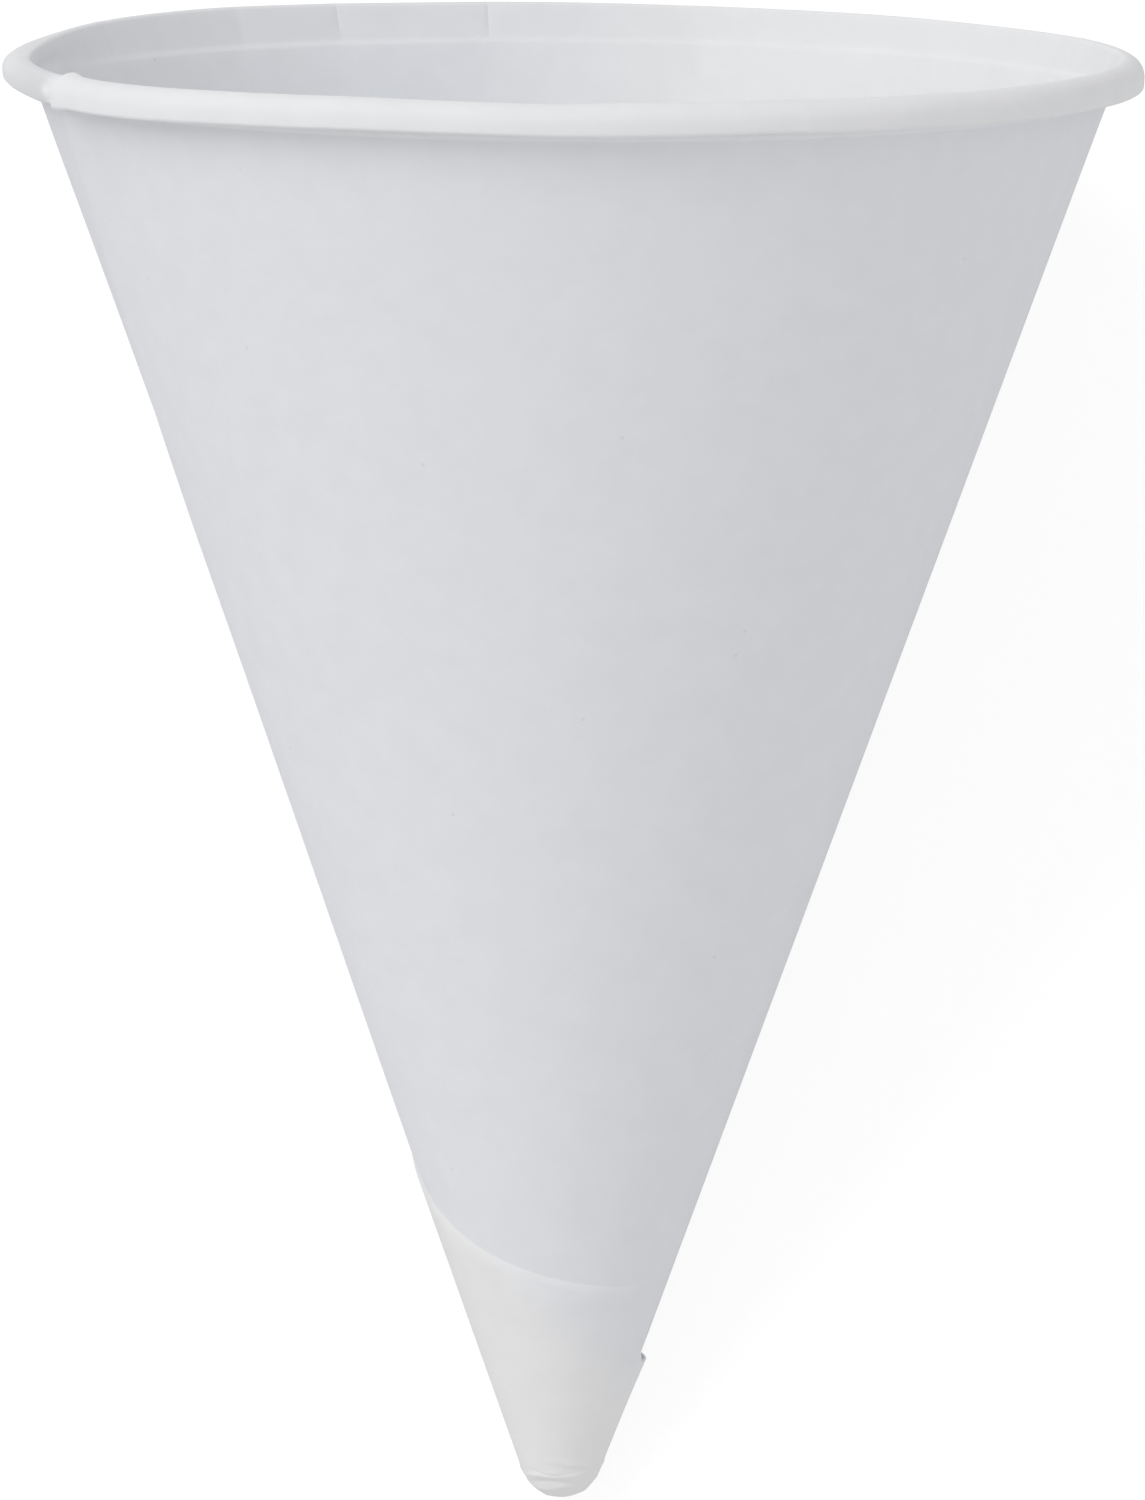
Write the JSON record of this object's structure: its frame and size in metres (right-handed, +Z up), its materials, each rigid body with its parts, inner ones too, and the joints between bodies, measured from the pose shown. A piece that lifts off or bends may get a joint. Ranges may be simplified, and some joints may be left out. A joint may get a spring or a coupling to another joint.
{
  "type": "cone paper cup",
  "caption": "Cone-shaped paper drinking cup with an outward rolled rim and a blunt folded tip, wound from one sheet.",
  "frame": {"origin": "centre of the cup's box at the surface that it lies on", "axes": "+Z up; +Y towards the mouth, along the surface; the cup lies on its back, resting on its rolled rim and its tip, with its axis rising 20.6 degrees towards +Y; +X is to the right, seen from the tip"},
  "size_m": [0.073, 0.1, 0.0683],
  "materials": {
    "paper": "matt uncoated white paper"
  },
  "bodies": {
    "root": {"cone_cup": "paper"}
  },
  "joints": []
}
